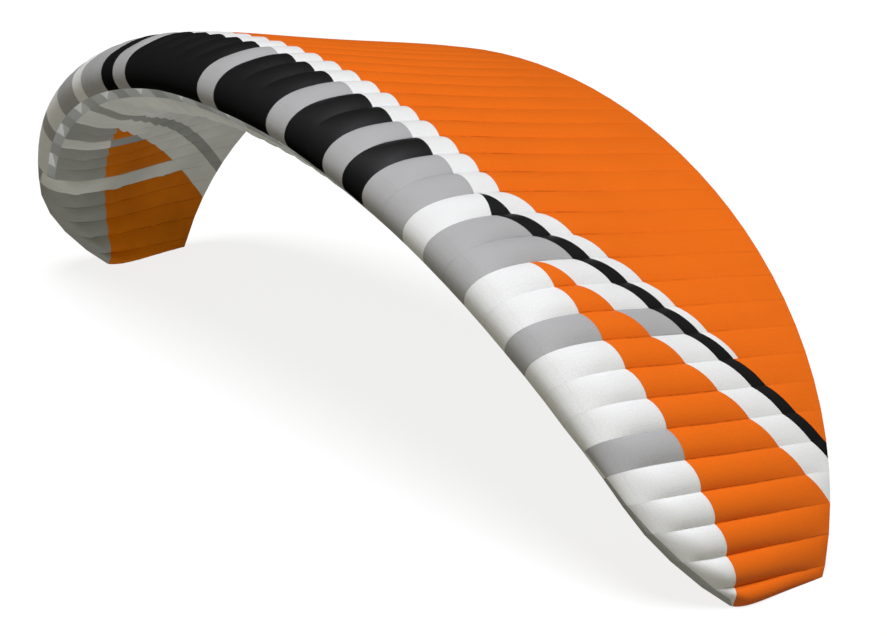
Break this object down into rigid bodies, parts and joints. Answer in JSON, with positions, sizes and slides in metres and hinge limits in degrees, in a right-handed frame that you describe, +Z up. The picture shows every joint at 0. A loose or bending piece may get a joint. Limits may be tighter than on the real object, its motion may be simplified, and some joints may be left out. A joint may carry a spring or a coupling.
{
  "type": "paraglider wing",
  "caption": "Inflated ram-air paraglider canopy with upper and lower skins, ribs and nose intakes, standing on its wing tips.",
  "frame": {"origin": "on the ground under the middle of the standing wing's bounding box", "axes": "+X along the span towards the right-hand tip in a front view, -Y towards the nose, +Z up"},
  "size_m": [9.0684, 2.9932, 3.0588],
  "materials": {
    "upper_cloth": "silicone-coated ripstop nylon, soft satin sheen; orange with white, grey and black panels",
    "lower_cloth": "coated ripstop nylon, matte; white with grey and orange panels",
    "rib_cloth": "stiff coated nylon, matte light grey",
    "tip_cloth": "coated ripstop nylon, matte white"
  },
  "bodies": {
    "root": {"upper_skin_1": "upper_cloth", "upper_skin_2": "upper_cloth", "upper_skin_3": "upper_cloth", "upper_skin_4": "upper_cloth", "upper_skin_5": "upper_cloth", "lower_skin_1": "lower_cloth", "lower_skin_2": "lower_cloth", "lower_skin_3": "lower_cloth", "lower_skin_4": "lower_cloth", "rib_01": "rib_cloth", "rib_02": "rib_cloth", "rib_03": "rib_cloth", "rib_04": "rib_cloth", "rib_05": "rib_cloth", "rib_06": "rib_cloth", "rib_07": "rib_cloth", "rib_08": "rib_cloth", "rib_09": "rib_cloth", "rib_10": "rib_cloth", "rib_11": "rib_cloth", "rib_12": "rib_cloth", "rib_13": "rib_cloth", "rib_14": "rib_cloth", "rib_15": "rib_cloth", "rib_16": "rib_cloth", "rib_17": "rib_cloth", "rib_18": "rib_cloth", "rib_19": "rib_cloth", "rib_20": "rib_cloth", "rib_21": "rib_cloth", "rib_22": "rib_cloth", "rib_23": "rib_cloth", "rib_24": "rib_cloth", "rib_25": "rib_cloth", "rib_26": "rib_cloth", "rib_27": "rib_cloth", "rib_28": "rib_cloth", "rib_29": "rib_cloth", "rib_30": "rib_cloth", "rib_31": "rib_cloth", "rib_32": "rib_cloth", "rib_33": "rib_cloth", "rib_34": "rib_cloth", "rib_35": "rib_cloth", "rib_36": "rib_cloth", "rib_37": "rib_cloth", "rib_38": "rib_cloth", "rib_39": "rib_cloth", "rib_40": "rib_cloth", "rib_41": "rib_cloth", "rib_42": "rib_cloth", "rib_43": "rib_cloth", "rib_44": "rib_cloth", "rib_45": "rib_cloth", "rib_46": "rib_cloth", "rib_47": "rib_cloth", "rib_48": "rib_cloth", "rib_49": "rib_cloth", "tip_panel_right": "tip_cloth", "tip_panel_left": "tip_cloth"}
  },
  "joints": []
}
